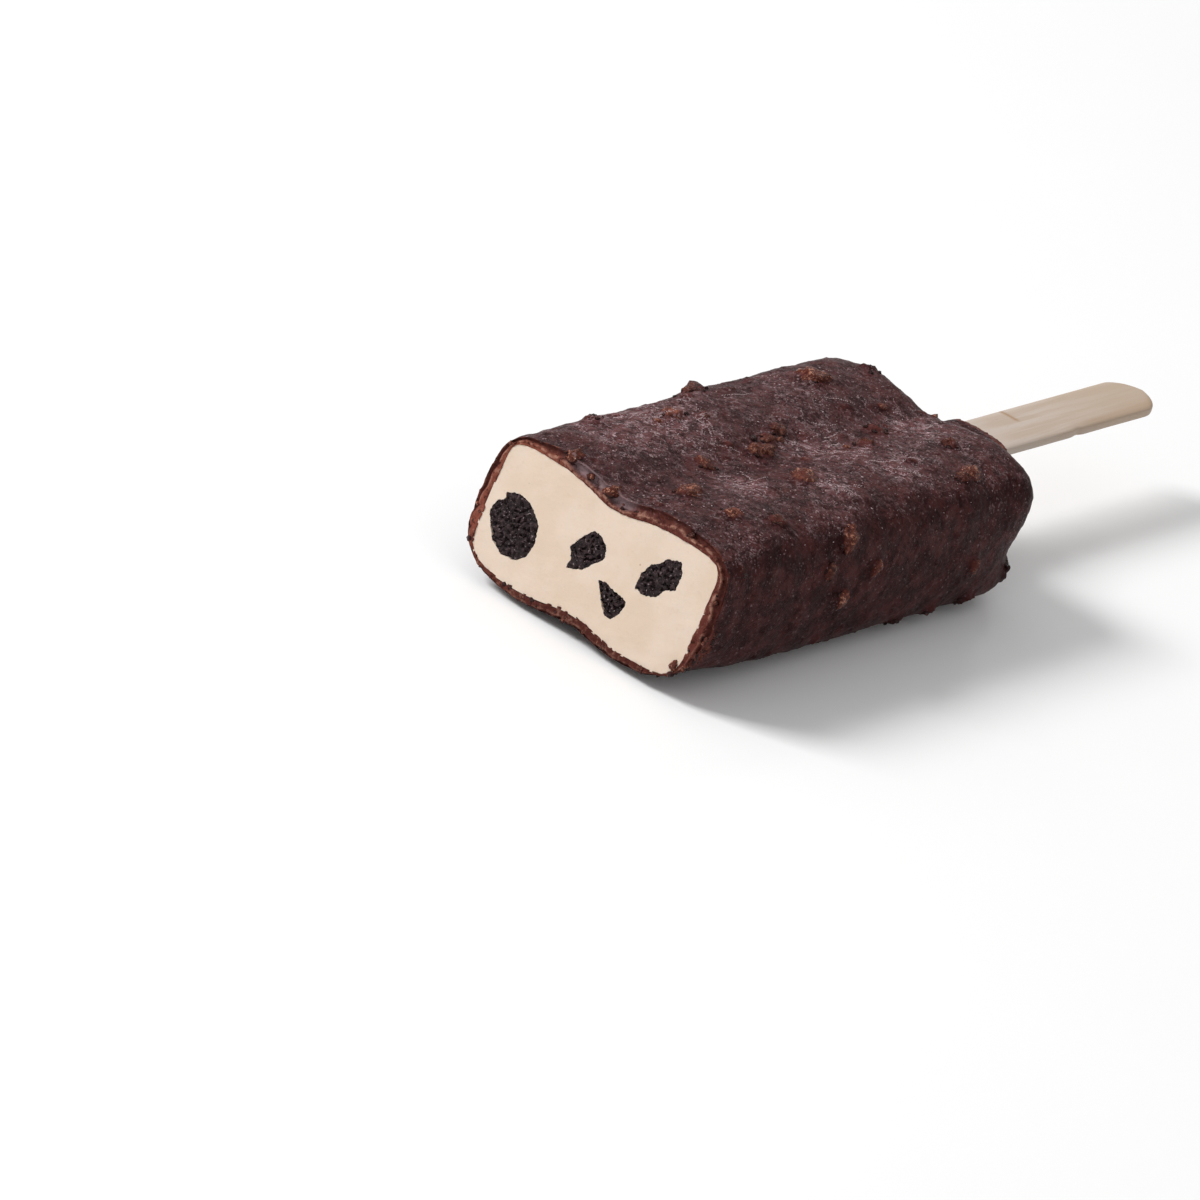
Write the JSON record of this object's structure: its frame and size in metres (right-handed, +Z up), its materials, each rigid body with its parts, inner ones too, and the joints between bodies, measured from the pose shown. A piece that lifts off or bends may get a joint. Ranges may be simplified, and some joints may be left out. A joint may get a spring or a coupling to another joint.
{
  "type": "chocolate coated ice cream bar",
  "caption": "Chocolate coated ice cream bar on a flat wooden stick, cut across to show vanilla ice cream with dark cookie chunks, lying on its broad face.",
  "frame": {"origin": "middle of the bounding box, on the surface that the bar lies on", "axes": "+X from the cut to the tip of the stick, along the bar; +Y to the bar's left, across its width; +Z up, through its thickness"},
  "size_m": [0.153, 0.05, 0.0273],
  "materials": {
    "chocolate": "dark brown chocolate with a dull frosty bloom",
    "ice_cream": "pale cream, smooth cut face",
    "cookie": "near black, rough and grainy",
    "birch": "plain untreated birch"
  },
  "bodies": {
    "root": {"coating": "chocolate", "ice_cream": "ice_cream", "cookie_chunk_1": "cookie", "cookie_chunk_2": "cookie", "cookie_chunk_3": "cookie", "cookie_chunk_4": "cookie", "stick": "birch"}
  },
  "joints": []
}
